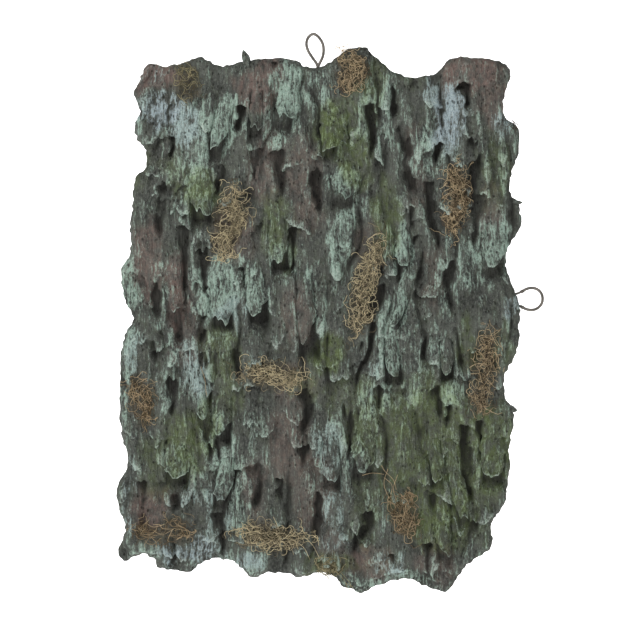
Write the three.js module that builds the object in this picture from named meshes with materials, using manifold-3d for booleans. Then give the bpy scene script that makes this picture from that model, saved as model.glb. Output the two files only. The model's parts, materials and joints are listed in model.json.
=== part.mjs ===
// Camouflage bark veil: a flexible sheet of bark-like coated cloth that covers the face. It is a woven backing,
// a gathered bark skin, torn bark flaps that are glued along their top edges and lift at their free ends,
// tufts of dry moss, and two elastic loops that hang it from a button or a hook.
// Millimetres. X runs across, -Y faces the onlooker and +Z is up. The origin is where a hook bears in the top loop.
import * as THREE from "three";
import { mergeVertices } from "three/addons/utils/BufferGeometryUtils.js";
import Module from "manifold-3d";

const wasm = await Module();
wasm.setup();

// Driving dimensions.
const gap = 0.3; // clearance between pieces that touch
const cordRadius = 1; // 2 mm elastic cord
const skinFront = -4; // the skin's mean front face, across the tops and valleys of its folds
const skinBack = 2;
const clothDepth = 1.2;
const clothInset = 1; // the backing is cut this much smaller than the skin
const flapDepth = 1.6;
const edgeSteps = 2; // straight steps between two outline points
const cordSides = 8;
const clothFront = skinBack + gap;
const flapBack = skinFront - gap; // the plane that flaps, curls and tufts are glued on

// The skin's torn outline, clockwise from the top left corner: [x, z].
const topEdge = [
  [-126, -25], [-122, -22], [-110, -23.5], [-100, -22], [-92, -18], [-85, -16.5], [-78, -20], [-73, -23],
  [-63, -22.5], [-50, -19], [-35, -18], [-24, -17], [-15, -19], [-5, -24], [3, -25], [11, -21.5],
  [20, -14], [24, -11], [38, -9], [43, -14], [52, -22], [61, -28], [70, -31], [81, -31],
  [89, -29], [96, -24], [101, -18], [118, -17], [138, -19.5], [146, -26],
];
const rightEdge = [
  [145, -36], [142, -46], [141, -55], [144, -63], [151, -67], [152.5, -79], [151, -92], [146, -107],
  [146, -116], [151, -124], [154, -132], [153, -143], [148, -154], [143, -162], [143, -171], [146, -183],
  [151, -193], [153.5, -202], [153, -211], [152, -229], [149, -242], [143, -250], [141, -260], [143, -271],
  [148, -279], [149, -289], [146, -298], [145, -310], [146, -322], [144.5, -336], [141, -351], [134, -359],
  [132, -366], [133, -376], [131, -382],
];
const bottomEdge = [
  [120, -390], [110, -399], [105, -407], [98, -416], [93, -413], [80, -410], [75, -406], [67, -404.5],
  [52, -408], [43, -411.5], [34, -416], [28, -412], [21, -410], [17, -404], [9, -400.5], [0, -400.5],
  [-10, -403.5], [-18, -401], [-36, -400.5], [-42, -403.5], [-49, -402], [-53, -397], [-62, -391.5], [-72, -389.5],
  [-81, -391], [-89, -398], [-94, -400.5], [-101, -398], [-117, -396.5], [-118.5, -391], [-126, -386.5],
  [-134, -388.5], [-141, -393],
];
const leftEdge = [
  [-146, -384], [-142, -375], [-140, -366], [-143, -357], [-146.5, -344], [-144.5, -333], [-139, -323],
  [-139.5, -312], [-143, -300], [-144.5, -283], [-144.5, -262], [-144, -243], [-142.5, -229], [-139, -219],
  [-134, -211], [-139, -202], [-141.5, -190], [-143.5, -174], [-138, -166], [-136, -157], [-137, -143],
  [-135, -125], [-134, -110], [-130, -104], [-125, -98], [-125, -86], [-131, -79], [-133.5, -70], [-130, -59],
  [-131, -51], [-134, -43], [-129, -33],
];

// Bark flaps: where each is glued (its top edge's middle), its free tip, its width and how far the tip stands out.
const flaps = [
  { root: [-64, -50], tip: [-74, -86], width: 15, lift: 6 },
  { root: [-85, -98], tip: [-84, -134], width: 19, lift: 7 },
  { root: [-17, -32], tip: [-23, -65], width: 18, lift: 6 },
  { root: [-42, -40], tip: [-44, -72], width: 12, lift: 5 },
  { root: [15, -54], tip: [17, -86], width: 24, lift: 8 },
  { root: [-28, -136], tip: [-25, -170], width: 16, lift: 7 },
  { root: [23, -94], tip: [21, -123], width: 20, lift: 7 },
  { root: [66, -141], tip: [67, -175], width: 13, lift: 6 },
  { root: [70, -181], tip: [58, -215], width: 13, lift: 6 },
  { root: [136, -140], tip: [133, -173], width: 18, lift: 6 },
  { root: [57, -224], tip: [58, -254], width: 13, lift: 6 },
  { root: [98, -226], tip: [99, -252], width: 12, lift: 5 },
  { root: [-44, -177], tip: [-41, -208], width: 18, lift: 7 },
  { root: [-69, -182], tip: [-68, -213], width: 19, lift: 6 },
  { root: [-7, -174], tip: [-5, -229], width: 16, lift: 6 },
  { root: [-104, -178], tip: [-104, -207], width: 14, lift: 5 },
  { root: [-89, -247], tip: [-82, -284], width: 12, lift: 6 },
  { root: [-63, -312], tip: [-69, -346], width: 13, lift: 6 },
  { root: [-67, -268], tip: [-68, -299], width: 16, lift: 6 },
  { root: [-100, -299], tip: [-102, -330], width: 22, lift: 6 },
  { root: [40, -294], tip: [36, -325], width: 18, lift: 7 },
  { root: [104, -324], tip: [111, -359], width: 12, lift: 7 },
  { root: [90, -300], tip: [91, -331], width: 11, lift: 6 },
  { root: [134, -297], tip: [133, -328], width: 20, lift: 6 },
  { root: [96, -361], tip: [97, -386], width: 13, lift: 5 },
  { root: [12, -300], tip: [13, -332], width: 16, lift: 5 },
];

// Short curled shreds at the edge, glued flat: they reach past the outline and don't lift.
const edgeCurls = {
  edge_curl_top: { root: [-48.5, -24], tip: [-53, -13], width: 6, lift: 1.5 },
  edge_curl_side: { root: [140, -276], tip: [151, -280], width: 6, lift: 1.5 },
  edge_spur_side: { root: [148, -124], tip: [156, -125.5], width: 2.6, lift: 1 },
};

// Moss tufts: middle, half length along the tuft, half width, turn from upright in degrees, and height.
const tufts = [
  { at: [28, -26], half: [16, 15], turn: 0, height: 8 },
  { at: [-64, -140], half: [29, 12], turn: 21, height: 8 },
  { at: [106, -122], half: [27, 11], turn: 4, height: 8 },
  { at: [38, -186], half: [37, 12], turn: 12, height: 8 },
  { at: [-128, -273], half: [19, 10], turn: -10, height: 7 },
  { at: [-30, -252], half: [25, 12], turn: -80, height: 7 },
  { at: [126, -252], half: [33, 11], turn: -3, height: 8 },
  { at: [68, -357], half: [20, 12], turn: -8, height: 7 },
  { at: [-112, -369], half: [25, 12], turn: -84, height: 6 },
  { at: [-31, -373], half: [26, 12], turn: -82, height: 7 },
  { at: [10, -395], half: [11, 5], turn: -80, height: 5 },
  { at: [-93, -34], half: [16, 13], turn: 0, height: 5 },
];

// The elastic loops' middle lines, [x, z], and the knots just outside the edge that they turn about.
const topLoopLine = [
  [1.85, -20.9], [-1.6, -16], [-4.6, -11], [-5.6, -6], [-4.2, -1.5], [-0.4, cordRadius], [3.4, -1.3],
  [6.4, -6], [7.2, -11.5], [6.3, -16.5], [4.15, -20.9],
];
const sideLoopLine = [
  [157.6, -193.6], [159.6, -190.6], [162.6, -188.9], [166.8, -190], [169.9, -194.2], [169.8, -199.2],
  [166.6, -203.1], [162.4, -204.3], [159.5, -203], [157.6, -200.4],
];
const topKnots = [{ name: "top_loop_anchor", at: [3, -23.2], along: [0, -1], length: 15 }];
const sideKnots = [
  { name: "side_loop_anchor_upper", at: [155.3, -193.6], along: [-1, 0], length: 15 },
  { name: "side_loop_anchor_lower", at: [155.3, -200.4], along: [-1, 0], length: 15 },
];
const knotRadius = 1.6;

const finishes = {
  skin: new THREE.MeshStandardMaterial({ color: 0x55605a, roughness: 0.9, metalness: 0 }),
  flap: new THREE.MeshStandardMaterial({ color: 0x7d9186, roughness: 0.9, metalness: 0 }),
  cloth: new THREE.MeshStandardMaterial({ color: 0x4a4f3c, roughness: 0.95, metalness: 0 }),
  moss: new THREE.MeshStandardMaterial({ color: 0x8a6f47, roughness: 1, metalness: 0 }),
  cord: new THREE.MeshStandardMaterial({ color: 0x55564f, roughness: 0.7, metalness: 0 }),
};

const mask = new THREE.Group();

function addPiece(name, geometry, finish) {
  const mesh = new THREE.Mesh(geometry, finish);
  mesh.name = name;
  mask.add(mesh);
  return mesh;
}

function toSolid(geometry) {
  const bare = new THREE.BufferGeometry().setAttribute("position", geometry.getAttribute("position"));
  if (geometry.index) bare.setIndex(geometry.index);
  const merged = mergeVertices(bare, 1e-4);
  return new wasm.Manifold(
    new wasm.Mesh({
      numProp: 3,
      vertProperties: merged.attributes.position.array,
      triVerts: new Uint32Array(merged.index.array),
    }),
  );
}

function toGeometry(solid) {
  const { vertProperties, triVerts } = solid.getMesh();
  return new THREE.BufferGeometry()
    .setAttribute("position", new THREE.BufferAttribute(vertProperties, 3))
    .setIndex(new THREE.BufferAttribute(triVerts, 1));
}

// The torn outline as a smooth closed shape, moved inwards by inset.
function outlineShape(inset) {
  const points = [...topEdge, ...rightEdge, ...bottomEdge, ...leftEdge];
  const curve = new THREE.CatmullRomCurve3(
    points.map(([x, z]) => new THREE.Vector3(x, 0, z)),
    true,
    "centripetal",
  );
  const steps = points.length * edgeSteps;
  const shape = [];
  for (let i = 0; i < steps; i++) {
    const place = curve.getPoint(i / steps);
    const along = curve.getTangent(i / steps);
    shape.push(new THREE.Vector2(place.x + along.z * inset, place.z - along.x * inset));
  }
  return new THREE.Shape(shape);
}

// A plate of the outline between two planes across Y.
function outlinePlate(front, back, inset) {
  return new THREE.ExtrudeGeometry(outlineShape(inset), { depth: back - front, bevelEnabled: false })
    .rotateX(Math.PI / 2)
    .translate(0, back, 0);
}

// A tongue of bark in its own frame: its hinge line is the X axis, it runs down -Z and stands out towards -Y.
function tongueGeometry({ length, width, lift }) {
  const rootShare = 0.72; // of the full width, at the glued edge
  const tipShare = 0.42; // at the free end
  const roundedFrom = 0.6; // where along the length the end starts to round off
  const crown = 0.09 * width; // how far the middle stands out past the edges
  const geometry = new THREE.BoxGeometry(2, 1, 1, 4, 1, 7);
  const points = geometry.getAttribute("position");
  for (let i = 0; i < points.count; i++) {
    const u = points.getX(i);
    const v = 0.5 - points.getZ(i);
    const w = 0.5 - points.getY(i);
    const round = Math.max(0, (v - roundedFrom) / (1 - roundedFrom));
    const taper = Math.sqrt(1 - (1 - tipShare ** 2) * round ** 2);
    const halfWidth = (width / 2) * Math.min(1, rootShare + 0.7 * v) * taper;
    const out = lift * v ** 1.5 + crown * (1 - u * u) * v + w * flapDepth;
    points.setXYZ(i, u * halfWidth, -out, -length * v * (1 - 0.06 * u * u));
  }
  return geometry;
}

function addTongue(name, { root, tip, width, lift }) {
  const across = tip[0] - root[0];
  const down = root[1] - tip[1];
  const piece = addPiece(name, tongueGeometry({ length: Math.hypot(across, down), width, lift }), finishes.flap);
  piece.position.set(root[0], flapBack, root[1]);
  piece.rotation.y = -Math.atan2(across, down);
}

// A low mound of moss with a flat back, its length along Z before it is turned.
function addTuft(name, { at, half, turn, height }) {
  const profile = [[0, 0], [1, 0], [0.97, 0.3], [0.8, 0.62], [0.45, 0.9], [0, 1]];
  const mound = new THREE.LatheGeometry(profile.map(([r, h]) => new THREE.Vector2(r, h)), 14)
    .rotateX(Math.PI)
    .scale(half[1], height, half[0]);
  const piece = addPiece(name, mound, finishes.moss);
  piece.position.set(at[0], flapBack, at[1]);
  piece.rotation.y = THREE.MathUtils.degToRad(turn);
}

// Elastic cord bent along a flat line of [x, z] points.
function cordGeometry(line) {
  const path = new THREE.CatmullRomCurve3(line.map(([x, z]) => new THREE.Vector3(x, 0, z)));
  const section = new THREE.Shape();
  for (let i = 0; i < cordSides; i++) {
    const angle = (i / cordSides) * 2 * Math.PI;
    const point = [cordRadius * Math.cos(angle), cordRadius * Math.sin(angle)];
    if (i === 0) section.moveTo(...point);
    else section.lineTo(...point);
  }
  const steps = 4 * (line.length - 1);
  return new THREE.ExtrudeGeometry(section, { steps, extrudePath: path, bevelEnabled: false });
}

// A knot with a straight tail that is bonded inside the skin, grown by extra on every side.
function anchorSolid({ at, along, length }, extra) {
  const knot = toSolid(new THREE.SphereGeometry(knotRadius + extra, 14, 10).translate(at[0], 0, at[1]));
  const radius = cordRadius + extra;
  const reach = length + extra;
  const tail = new THREE.CylinderGeometry(radius, radius, reach, cordSides).translate(0, reach / 2, 0);
  const turn = new THREE.Quaternion().setFromUnitVectors(
    new THREE.Vector3(0, 1, 0),
    new THREE.Vector3(along[0], 0, along[1]),
  );
  return knot.add(toSolid(tail.applyQuaternion(turn).translate(at[0], 0, at[1])));
}

// The bark skin, with a pocket for each knot and its tail.
const anchors = [...topKnots, ...sideKnots];
const pockets = anchors.map((anchor) => anchorSolid(anchor, gap));
const skin = pockets.reduce((solid, pocket) => solid.subtract(pocket), toSolid(outlinePlate(skinFront, skinBack, 0)));
addPiece("bark_skin", toGeometry(skin), finishes.skin);
addPiece("backing_cloth", outlinePlate(clothFront, clothFront + clothDepth, clothInset), finishes.cloth);

flaps.forEach((flap, i) => addTongue(`bark_flap_${String(i + 1).padStart(2, "0")}`, flap));
Object.entries(edgeCurls).forEach(([name, curl]) => addTongue(name, curl));
tufts.forEach((tuft, i) => addTuft(`moss_tuft_${String(i + 1).padStart(2, "0")}`, tuft));

addPiece("top_loop", cordGeometry(topLoopLine), finishes.cord);
addPiece("side_loop", cordGeometry(sideLoopLine), finishes.cord);
anchors.forEach((anchor) => addPiece(anchor.name, toGeometry(anchorSolid(anchor, 0)), finishes.cord));

export default mask;
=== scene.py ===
import json
import math
import bmesh
import bpy
import numpy as np
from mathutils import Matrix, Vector


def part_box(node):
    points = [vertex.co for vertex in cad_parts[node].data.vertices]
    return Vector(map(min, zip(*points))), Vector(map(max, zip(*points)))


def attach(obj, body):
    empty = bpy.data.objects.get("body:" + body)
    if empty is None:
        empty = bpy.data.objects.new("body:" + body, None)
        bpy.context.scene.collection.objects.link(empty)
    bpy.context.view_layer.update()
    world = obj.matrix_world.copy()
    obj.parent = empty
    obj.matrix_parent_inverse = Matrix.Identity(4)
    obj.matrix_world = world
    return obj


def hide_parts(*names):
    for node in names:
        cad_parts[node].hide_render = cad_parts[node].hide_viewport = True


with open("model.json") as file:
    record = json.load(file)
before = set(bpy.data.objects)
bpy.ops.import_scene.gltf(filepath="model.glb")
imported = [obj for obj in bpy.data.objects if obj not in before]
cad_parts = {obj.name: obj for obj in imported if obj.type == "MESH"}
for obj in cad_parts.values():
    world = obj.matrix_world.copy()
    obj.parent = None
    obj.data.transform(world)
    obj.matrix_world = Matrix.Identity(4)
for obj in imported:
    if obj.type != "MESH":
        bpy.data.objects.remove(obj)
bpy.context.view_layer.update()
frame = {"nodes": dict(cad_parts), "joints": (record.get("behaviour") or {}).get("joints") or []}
mm = 0.001  # the script works in millimetres and writes metres
print("frame loaded")


def addObject(name, data):
    made = bpy.data.objects.new(name, data)
    bpy.context.collection.objects.link(made)
    return made


def setSockets(node, values):
    # joins sockets or sets plain values, by socket name or number
    for key, value in values.items():
        if isinstance(value, bpy.types.NodeSocket):
            node.id_data.links.new(value, node.inputs[key])
        else:
            node.inputs[key].default_value = value


studio = {
    "cameraPlace": (4.5, -1127, -212.3),
    "lens": 85,
    "sensor": 36,
    "clipStart": 50,
    "aim": (0, 0, -210),
    "floorLevel": -860,
    "wallPlace": 1900,
    "reach": 4500,  # half the width of the floor and of the wall
    "roomLight": 0.14,
    "paperTone": 0.9,
    "paperGlow": 0.95,
    # each light: place, width, power
    "lights": {
        "keyLight": ((-800, -800, 560), 420, 10.7),
        "fillLight": ((1300, -1300, -200), 1300, 2.2),
        "backLight": ((700, 1300, 900), 1000, 14),
    },
}
bpy.context.scene.view_settings.view_transform = "Standard"


def addLight(name, place, width, power):
    light = bpy.data.lights.new(name, "AREA")
    light.shape = "DISK"
    light.size = width * mm
    light.energy = power
    lamp = addObject(name, light)
    lamp.location = Vector(place) * mm
    aim = Vector(studio["aim"]) * mm - lamp.location
    lamp.rotation_euler = aim.to_track_quat("-Z", "Y").to_euler()


def buildStudio():
    camera = addObject("camera", bpy.data.cameras.new("camera"))
    camera.data.lens = studio["lens"]
    camera.data.sensor_width = studio["sensor"]
    camera.data.clip_start = studio["clipStart"] * mm
    camera.location = Vector(studio["cameraPlace"]) * mm
    camera.rotation_euler = (math.pi / 2, 0, 0)
    bpy.context.scene.camera = camera
    for name, light in studio["lights"].items():
        addLight(name, *light)

    white = (1, 1, 1, 1)
    world = bpy.data.worlds.new("paleRoom")
    world.use_nodes = True
    setSockets(world.node_tree.nodes["Background"], {"Color": white, "Strength": studio["roomLight"]})
    bpy.context.scene.world = world

    paper = bpy.data.materials.new("palePaper")
    paper.use_nodes = True
    setSockets(paper.node_tree.nodes["Principled BSDF"], {
        "Base Color": (studio["paperTone"],) * 3 + (1,),
        "Roughness": 0.9,
        "Emission Color": white,
        "Emission Strength": studio["paperGlow"],
    })
    side, level, wall = studio["reach"] * mm, studio["floorLevel"] * mm, studio["wallPlace"] * mm
    floorCorners = [(-side, -side, level), (side, -side, level), (side, wall, level), (-side, wall, level)]
    wallCorners = [(-side, wall, level), (side, wall, level), (side, wall, side), (-side, wall, side)]
    for name, corners in {"floor": floorCorners, "wall": wallCorners}.items():
        mesh = bpy.data.meshes.new(name)
        mesh.from_pydata(corners, [], [(0, 1, 2, 3)])
        mesh.materials.append(paper)
        addObject(name, mesh)


buildStudio()
print("studio and camera placed")


def smoothStep(low, high, value):
    t = np.clip((value - low) / (high - low), 0, 1)
    return t * t * (3 - 2 * t)


def latticeNoise(x, z, cellX, cellZ, seed):
    # smooth noise from -1 to 1 on cells of the given size in millimetres
    lattice = np.random.default_rng(seed).uniform(-1, 1, (64, 64))
    u, v = x / cellX + 640, z / cellZ + 640
    i, j = np.floor(u).astype(int), np.floor(v).astype(int)
    a, b = u - i, v - j
    a = a * a * a * (a * (a * 6 - 15) + 10)
    b = b * b * b * (b * (b * 6 - 15) + 10)
    i, j, i2, j2 = i % 64, j % 64, (i + 1) % 64, (j + 1) % 64
    low = lattice[j, i] * (1 - a) + lattice[j, i2] * a
    high = lattice[j2, i] * (1 - a) + lattice[j2, i2] * a
    return low * (1 - b) + high * b


def addPiece(name, points, faces, material):
    # points come in millimetres
    mesh = bpy.data.meshes.new(name)
    mesh.from_pydata((np.asarray(points, float) * mm).tolist(), [], faces)
    mesh.materials.append(material)
    mesh.polygons.foreach_set("use_smooth", [True] * len(mesh.polygons))
    return addObject(name, mesh)


def settle(piece, body, node):
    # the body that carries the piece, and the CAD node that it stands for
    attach(piece, body)
    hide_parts(node)


def setAttribute(piece, name, values):
    layer = piece.data.attributes.new(name, "FLOAT", "POINT")
    layer.data.foreach_set("value", np.asarray(values, np.float32).ravel())


def smoothPath(points, perSpan):
    # a rounded line through given points
    points = np.asarray(points, float)
    ends = [2 * points[0] - points[1], *points, 2 * points[-1] - points[-2]]
    line = []
    for a, b, c, d in zip(ends, ends[1:], ends[2:], ends[3:]):
        for t in np.arange(perSpan) / perSpan:
            line.append(0.5 * (2 * b + (c - a) * t + (2 * a - 5 * b + 4 * c - d) * t**2
                               + (3 * b - a - 3 * c + d) * t**3))
    line.append(points[-1])
    return np.array(line)


def evenPath(line, spacing):
    # the same line with points an even distance apart
    steps = np.linalg.norm(np.diff(line, axis=0), axis=1)
    along = np.concatenate([[0], np.cumsum(steps)])
    marks = np.linspace(0, along[-1], max(2, int(round(along[-1] / spacing)) + 1))
    return np.stack([np.interp(marks, along, line[:, k]) for k in range(line.shape[1])], axis=1)


def paint(code):
    # a screen colour such as "8fa99b" as linear red, green, blue
    parts = [int(code[k : k + 2], 16) / 255 for k in (0, 2, 4)]
    return tuple((c / 12.92 if c <= 0.04045 else ((c + 0.055) / 1.055) ** 2.4) for c in parts) + (1.0,)


def addNode(tree, kind, inputs=None, **settings):
    made = tree.nodes.new(kind)
    for key, value in settings.items():
        setattr(made, key, value)
    setSockets(made, inputs or {})
    return made


def maths(tree, operation, a, b=0.0, clamp=False):
    return addNode(tree, "ShaderNodeMath", {0: a, 1: b}, operation=operation, use_clamp=clamp).outputs[0]


def vectorMaths(tree, operation, inputs):
    return addNode(tree, "ShaderNodeVectorMath", inputs, operation=operation).outputs[0]


def addShare(tree, value, more, share):
    return maths(tree, "ADD", value, maths(tree, "MULTIPLY", more, share))


def ramp(tree, value, low, high, toLow=0.0, toHigh=1.0):
    limits = {"Value": value, "From Min": low, "From Max": high, "To Min": toLow, "To Max": toHigh}
    return addNode(tree, "ShaderNodeMapRange", limits, interpolation_type="SMOOTHSTEP").outputs["Result"]


def blendColour(tree, amount, a, b):
    return addNode(tree, "ShaderNodeMix", {0: amount, 6: a, 7: b}, data_type="RGBA").outputs[2]


def layOver(tree, colour, layers):
    # each layer is how much of it covers what is below, and its own colour
    for amount, code in layers:
        colour = blendColour(tree, amount, colour, paint(code))
    return colour


def stretchSpace(tree, position, stretch):
    return addNode(tree, "ShaderNodeMapping", {"Vector": position, "Scale": stretch}).outputs[0]


def noise(tree, position, scale, detail=3.0, roughness=0.55, stretch=(1, 1, 1)):
    form = {"Scale": scale, "Detail": detail, "Roughness": roughness}
    form["Vector"] = stretchSpace(tree, position, stretch)
    return addNode(tree, "ShaderNodeTexNoise", form).outputs[0]


def readLayer(tree, name):
    return addNode(tree, "ShaderNodeAttribute", attribute_name=name).outputs["Fac"]


def startMaterial(name, roughness):
    made = bpy.data.materials.new(name)
    made.use_nodes = True
    tree = made.node_tree
    setSockets(tree.nodes["Principled BSDF"], {"Roughness": roughness, "Specular IOR Level": 0.25})
    return made, tree, addNode(tree, "ShaderNodeTexCoord").outputs["Object"]


def finishMaterial(made, colour, height, distance, strength, more=None):
    # the colour and the relief, and anything more that the shader needs
    tree = made.node_tree
    bump = addNode(tree, "ShaderNodeBump", {"Height": height, "Distance": distance, "Strength": strength})
    sockets = {"Base Color": colour, "Normal": bump.outputs[0], **(more or {})}
    setSockets(tree.nodes["Principled BSDF"], sockets)
    return made


def startTree(name, kind, sockets):
    # a node group with named inputs; each has its type and, for a number, its usual value
    tree = bpy.data.node_groups.new(name, kind)
    for label, (form, value) in sockets.items():
        socket = tree.interface.new_socket(name=label, in_out="INPUT", socket_type="NodeSocket" + form)
        if value is not None:
            socket.default_value = value
    return tree, addNode(tree, "NodeGroupInput").outputs


def finishTree(tree, form, results):
    for label in results:
        tree.interface.new_socket(name=label, in_out="OUTPUT", socket_type="NodeSocket" + form)
    setSockets(addNode(tree, "NodeGroupOutput"), results)
    return tree


def placeGroup(tree, group, inputs):
    made = tree.nodes.new("ShaderNodeGroup")
    made.node_tree = group
    setSockets(made, inputs)
    return made.outputs


def buildBarkGrain():
    # fine brushed streaks that run down the bark, pores and specks, for every coated piece
    tree, given = startTree("barkGrain", "ShaderNodeTree", {
        "Position": ("Vector", None), "Streaks": ("Float", 1100.0), "Ridges": ("Float", 520.0),
        "Pores": ("Float", 330.0),
    })
    spot = given["Position"]
    # the streaks wander by a few millimetres
    drift = addNode(tree, "ShaderNodeTexNoise", {"Vector": spot, "Scale": 60.0, "Detail": 2.0})
    bent = vectorMaths(tree, "SUBTRACT", {0: drift.outputs["Color"], 1: (0.5, 0.5, 0.5)})
    bent = vectorMaths(tree, "SCALE", {0: bent, "Scale": 0.004})
    bent = vectorMaths(tree, "ADD", {0: bent, 1: spot})
    long = noise(tree, bent, given["Streaks"], 3.0, 0.65, (1, 1, 0.12))
    short = noise(tree, bent, given["Streaks"], 3.0, 0.7, (0.6, 0.6, 0.36))
    ridge = noise(tree, bent, given["Ridges"], 2.0, 0.5, (1, 1, 0.11))
    streak = addShare(tree, maths(tree, "MULTIPLY", long, 0.3), short, 0.35)
    streak = addShare(tree, streak, ridge, 0.4)
    cells = {"Vector": stretchSpace(tree, bent, (1, 1, 0.65)), "Scale": given["Pores"]}
    cells = addNode(tree, "ShaderNodeTexVoronoi", cells).outputs["Distance"]
    patchy = noise(tree, spot, 150.0, 2.0)
    pore = maths(tree, "MULTIPLY", ramp(tree, cells, 0.14, 0.32, 1.0, 0.0), ramp(tree, patchy, 0.42, 0.56))
    speck = noise(tree, spot, 950.0, 3.0, 0.8, (1, 1, 0.7))
    relief = maths(tree, "MULTIPLY", streak, 0.7)
    for part, share in ((pore, -0.5), (speck, 0.4), (ridge, 0.9)):
        relief = addShare(tree, relief, part, share)
    return finishTree(tree, "Float", {"Streak": streak, "Pore": pore, "Speck": speck, "Relief": relief})


def buildClothWeave():
    # crossing threads, for the backing
    tree, given = startTree("clothWeave", "ShaderNodeTree", {
        "Position": ("Vector", None), "Threads": ("Float", 900.0),
    })
    split = addNode(tree, "ShaderNodeSeparateXYZ", {0: given["Position"]}).outputs
    pitch = maths(tree, "MULTIPLY", given["Threads"], 3.1416)
    across = maths(tree, "SINE", maths(tree, "MULTIPLY", split["X"], pitch))
    down = maths(tree, "SINE", maths(tree, "MULTIPLY", split["Z"], pitch))
    thread = maths(tree, "MULTIPLY", maths(tree, "ABSOLUTE", across), maths(tree, "ABSOLUTE", down))
    thread = addShare(tree, thread, maths(tree, "MULTIPLY", across, down), 0.35)
    shade = noise(tree, given["Position"], 700.0, 3.0, 0.6, (1, 1, 0.2))
    return finishTree(tree, "Float", {"Thread": thread, "Shade": shade})


barkGrain = buildBarkGrain()
clothWeave = buildClothWeave()


def barkMaterial(name, dryness):
    # dryness raises the amount of pale paint that the brush leaves on the high places
    made, tree, spot = startMaterial(name, 0.9)
    grain = placeGroup(tree, barkGrain, {"Position": spot})
    mint, frost, green, plum, nest, crest, paintedShade = (readLayer(tree, layer) for layer in paintLayers)
    patch = noise(tree, spot, 55.0, 4.0, 0.65, (1, 1, 0.6))
    blotch = noise(tree, spot, 190.0, 4.0, 0.7, (1, 1, 0.6))
    dapple = noise(tree, spot, 480.0, 3.0, 0.65, (1, 1, 0.75))
    plumAmount = maths(tree, "MULTIPLY", plum, ramp(tree, blotch, 0.35, 0.62, 0.15, 0.85), True)
    greenAmount = maths(tree, "MULTIPLY", green, ramp(tree, blotch, 0.34, 0.64, 0.2, 0.95), True)

    ground = layOver(tree, paint("3c3e3b"), [
        (ramp(tree, patch, 0.36, 0.64), "565953"),
        (ramp(tree, blotch, 0.44, 0.66, 0.0, 0.7), "51564a"),
        (ramp(tree, dapple, 0.42, 0.72, 0.0, 0.6), "6c7068"),
        (ramp(tree, grain["Streak"], 0.56, 0.72, 0.0, 0.5), "7d8179"),
        (ramp(tree, grain["Streak"], 0.34, 0.5, 0.5, 0.0), "262722"),
        (plumAmount, "77635d"),
        (greenAmount, "58643c"),
        (maths(tree, "MULTIPLY", nest, ramp(tree, dapple, 0.35, 0.7, 0.1, 0.8)), "5f5340"),
        (ramp(tree, grain["Speck"], 0.3, 0.45, 0.55, 0.0), "272723"),
        (ramp(tree, grain["Speck"], 0.6, 0.72, 0.0, 0.55), "a3a69b"),
    ])
    pale = layOver(tree, paint("9db4a6"), [
        (frost, "a4b4b9"),
        (maths(tree, "MULTIPLY", greenAmount, 0.8, True), "8b9d6a"),
        (ramp(tree, grain["Speck"], 0.52, 0.72, 0.0, 0.7), "d3dcd3"),
    ])
    # how far the pale paint spreads from the high places
    spread = maths(tree, "SUBTRACT", blotch, 0.5)
    reach = maths(tree, "MULTIPLY", mint, 0.47)
    for layer, share in ((frost, 0.4), (crest, 0.3), (green, 0.06), (spread, 1.0), (nest, -0.35)):
        reach = addShare(tree, reach, layer, share)
    reach = maths(tree, "ADD", reach, dryness)
    streak = ramp(tree, grain["Streak"], 0.33, 0.72)
    brushed = ramp(tree, maths(tree, "ADD", streak, reach), 0.66, 1.36)
    # painted shade: the pale paint is kept out of the creases, troughs and the undersides of the flaps
    brushed = maths(tree, "MULTIPLY", brushed, ramp(tree, paintedShade, 0.15, 0.8, 1.0, 0.1))
    brushed = maths(tree, "MULTIPLY", brushed, ramp(tree, grain["Speck"], 0.3, 0.46, 0.2, 1.0))
    rim = ramp(tree, crest, 0.7, 1.4, 0.0, 0.65)
    rim = maths(tree, "MULTIPLY", rim, ramp(tree, grain["Speck"], 0.38, 0.6))
    colour = blendColour(tree, maths(tree, "MULTIPLY", brushed, 0.9), ground, pale)
    colour = layOver(tree, colour, [
        (rim, "b9c5bb"),
        (maths(tree, "MULTIPLY", grain["Pore"], 0.7), "262521"),
        # painted shade: the creases, troughs and flap undersides are darkened towards near black
        (maths(tree, "MULTIPLY", paintedShade, 0.85, True), "201f1c"),
    ])
    return finishMaterial(made, colour, grain["Relief"], 0.0017, 1.0,
                          {"Roughness": ramp(tree, brushed, 0, 1, 0.82, 0.96)})


def clothMaterial():
    made, tree, spot = startMaterial("backingWeave", 0.92)
    weave = placeGroup(tree, clothWeave, {"Position": spot, "Threads": 800.0})
    worn = noise(tree, spot, 16.0, 4.0, 0.6)
    colour = layOver(tree, paint("3b3f2e"), [
        (ramp(tree, worn, 0.35, 0.68), "51553f"),
        (ramp(tree, weave["Thread"], 0.1, 0.9, 0.55, 0.0), "1f2118"),
        (ramp(tree, weave["Shade"], 0.45, 0.75, 0.0, 0.35), "6b6d55"),
    ])
    return finishMaterial(made, colour, weave["Thread"], 0.0004, 0.7, {"Sheen Weight": 0.25})


def mossMaterial(name, dark, light):
    made, tree, spot = startMaterial(name, 0.75)
    mottle = noise(tree, spot, 260.0, 3.0)
    colour = layOver(tree, paint(dark), [
        (ramp(tree, readLayer(tree, "tone"), 0.0, 1.0), light),
        (ramp(tree, mottle, 0.5, 0.8, 0.0, 0.6), "332a1f"),
    ])
    return finishMaterial(made, colour, noise(tree, spot, 2600.0, 2.0), 0.0002, 0.6)


def cordMaterial():
    made, tree, spot = startMaterial("elasticBraid", 0.7)
    mottle = noise(tree, spot, 900.0, 3.0, 0.6)
    colour = layOver(tree, paint("45423d"), [
        (readLayer(tree, "tone"), "918b83"),
        (ramp(tree, mottle, 0.5, 0.75, 0.0, 0.5), "a19a90"),
    ])
    return finishMaterial(made, colour, mottle, 0.0002, 0.5)


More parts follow.
